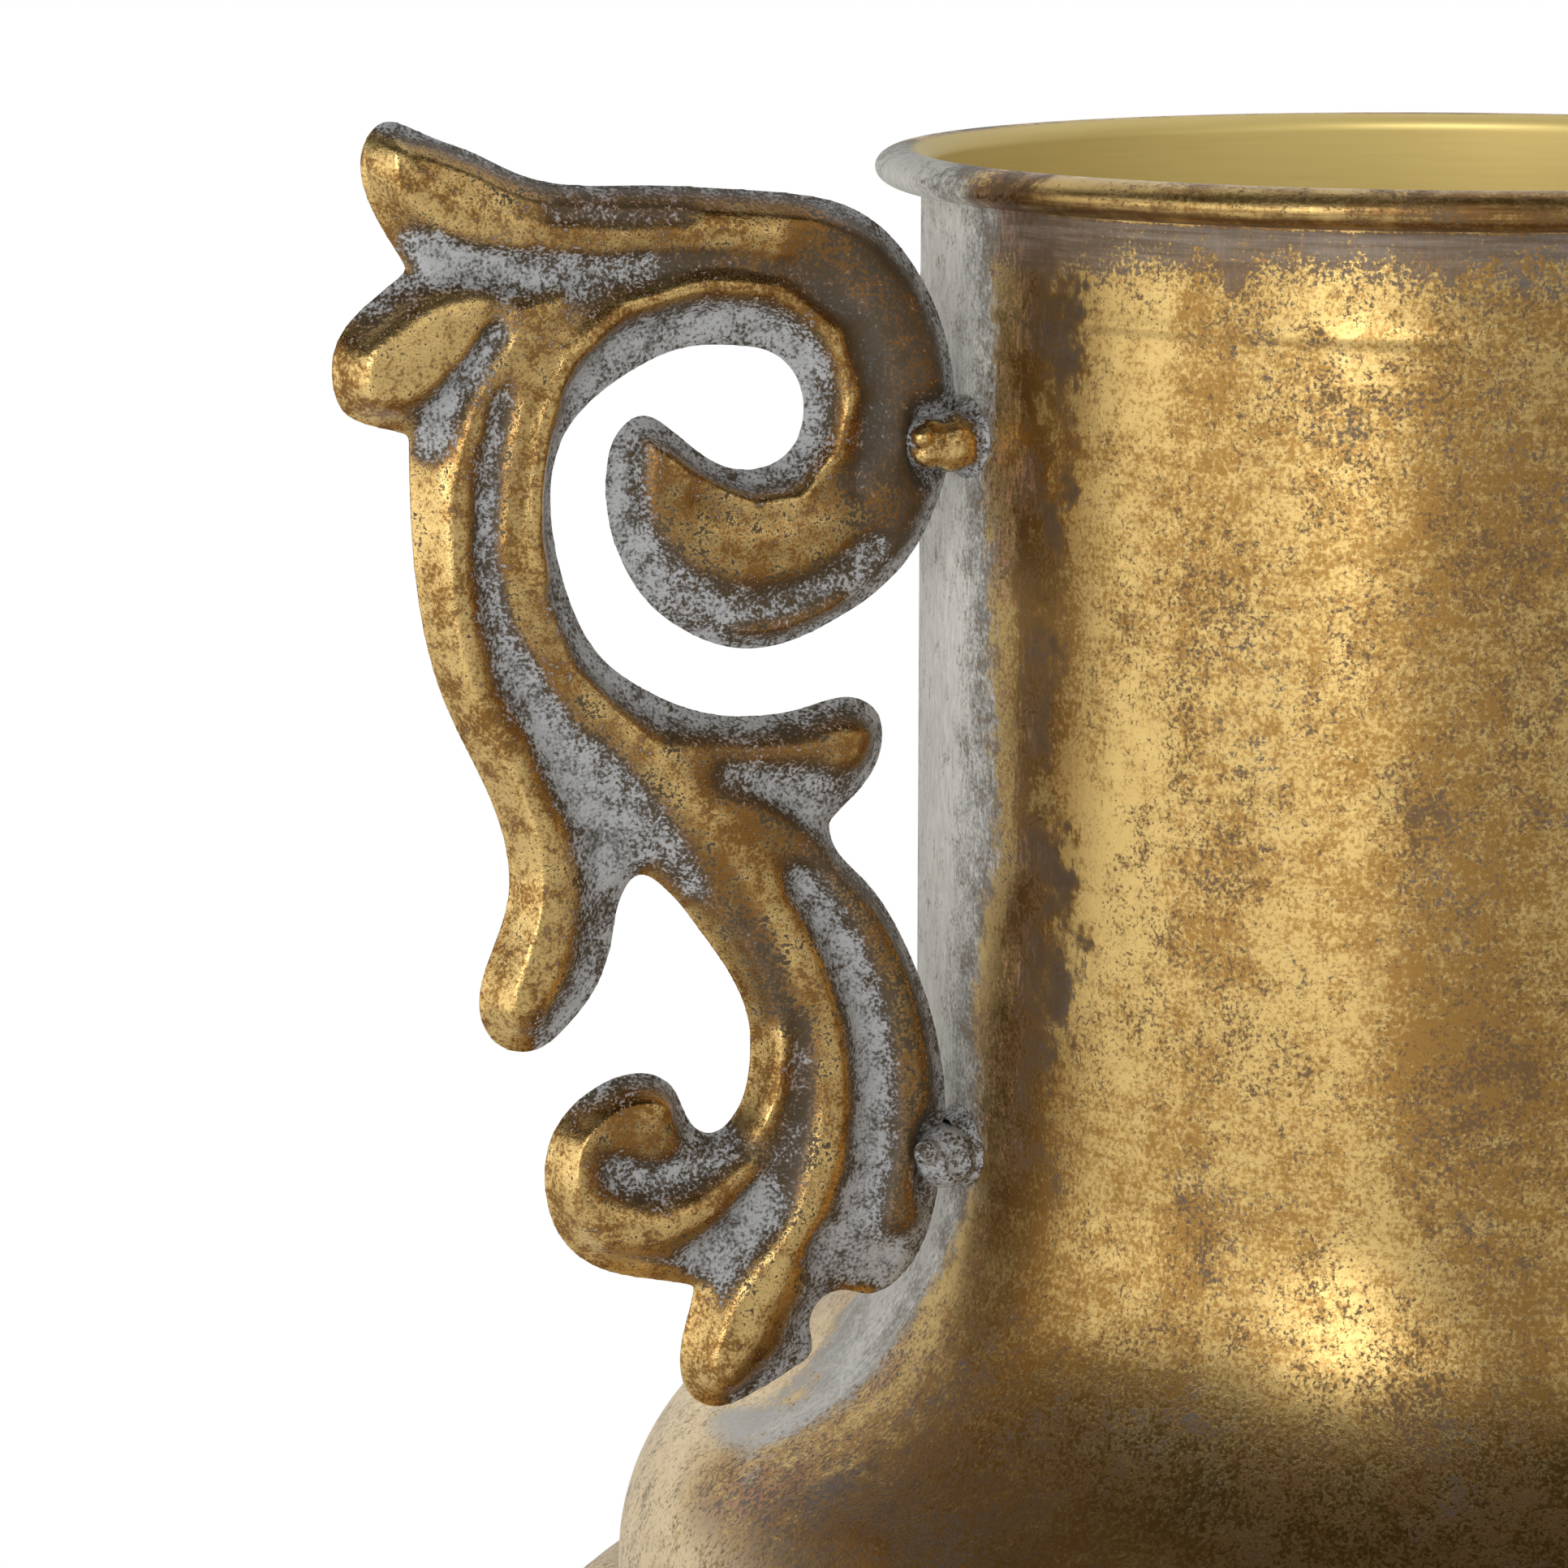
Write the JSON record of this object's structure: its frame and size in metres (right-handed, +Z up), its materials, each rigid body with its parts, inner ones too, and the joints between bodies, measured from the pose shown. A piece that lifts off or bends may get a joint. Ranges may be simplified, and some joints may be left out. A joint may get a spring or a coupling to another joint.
{
  "type": "urn vase",
  "caption": "Pedestal urn vase with a rolled rim, a domed shoulder, a wide belly and cast scroll handles, for dried flowers or show.",
  "frame": {"origin": "on the floor, under the centre of the rim", "axes": "+Z up along the vase's axis; X through the two handles, the left handle on -X"},
  "size_m": [0.2642, 0.225, 0.3961],
  "materials": {
    "gilt_sheet": "antique gold leaf over spun sheet, patchy, with dark umber patina and a grey wash",
    "gilt_casting": "sand-cast grey metal, burnished gold on its ridges, dark umber in its hollows",
    "braze": "lumpy braze, gold to grey",
    "steel_wire": "drawn wire",
    "bolt_steel": "zinc-plated",
    "seal_rubber": "matt black rubber",
    "felt": "dark brown felt",
    "solder": "dull solder"
  },
  "bodies": {
    "root": {"neck_shell": "gilt_sheet", "belly_shell": "gilt_sheet", "bowl_shell": "gilt_sheet", "bowl_pan": "gilt_sheet", "bowl_cup": "gilt_sheet", "stem_knop": "gilt_sheet", "foot_shell": "gilt_sheet", "foot_ring": "gilt_sheet", "rim_wire": "steel_wire", "seam_strap": "solder", "bowl_strap": "solder", "pan_strap": "solder", "foot_felt": "felt", "pedestal_bolt": "bolt_steel", "bolt_washer": "bolt_steel", "foot_washer": "bolt_steel", "foot_nut": "bolt_steel", "bolt_seal": "seal_rubber", "left_handle": "gilt_casting", "left_upper_lug": "gilt_casting", "left_upper_braze": "braze", "left_lower_lug": "gilt_casting", "left_lower_braze": "braze", "right_handle": "gilt_casting", "right_upper_lug": "gilt_casting", "right_upper_braze": "braze", "right_lower_lug": "gilt_casting", "right_lower_braze": "braze"}
  },
  "joints": []
}
